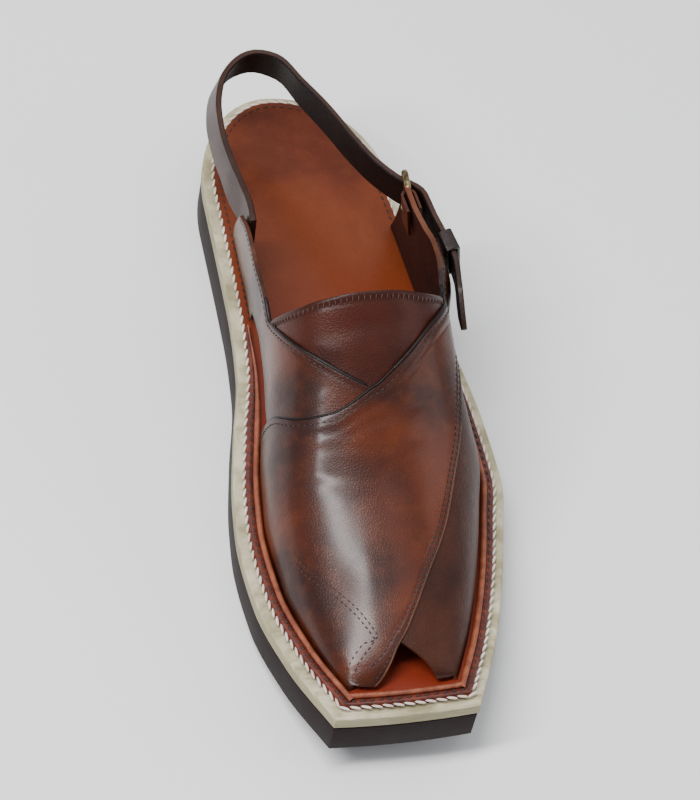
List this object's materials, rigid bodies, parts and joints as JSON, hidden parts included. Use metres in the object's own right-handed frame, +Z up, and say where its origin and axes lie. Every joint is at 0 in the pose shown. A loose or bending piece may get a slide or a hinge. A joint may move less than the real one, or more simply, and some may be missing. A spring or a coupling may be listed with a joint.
{
  "type": "peshawari chappal",
  "caption": "Left peshawari chappal: crossed brown leather panels with a small toe window on a layered sole with a cream rim, and a heel strap with a brass buckle.",
  "frame": {"origin": "middle of the sole's flat underside on the floor, half way from heel to toe", "axes": "+Z up from the floor, +Y towards the heel, +X towards the outer side of the left foot"},
  "size_m": [0.1067, 0.2992, 0.0997],
  "materials": {
    "outsole_rubber": "matte dark brown",
    "cream_midsole": "matte cream",
    "insole_leather": "smooth orange-brown",
    "welt_leather": "smooth red-brown",
    "upper_leather": "polished burnished brown",
    "strap_leather": "polished dark brown",
    "buckle_brass": "dull antique",
    "prong_brass": "dull antique",
    "fold_leather": "polished dark brown",
    "keeper_leather": "polished near-black brown"
  },
  "bodies": {
    "root": {"outsole": "outsole_rubber", "midsole": "cream_midsole", "insole": "insole_leather", "welt": "welt_leather", "upper": "upper_leather", "heel_strap": "strap_leather", "buckle_frame": "buckle_brass", "buckle_prong": "prong_brass", "buckle_fold": "fold_leather", "strap_keeper": "keeper_leather"}
  },
  "joints": []
}
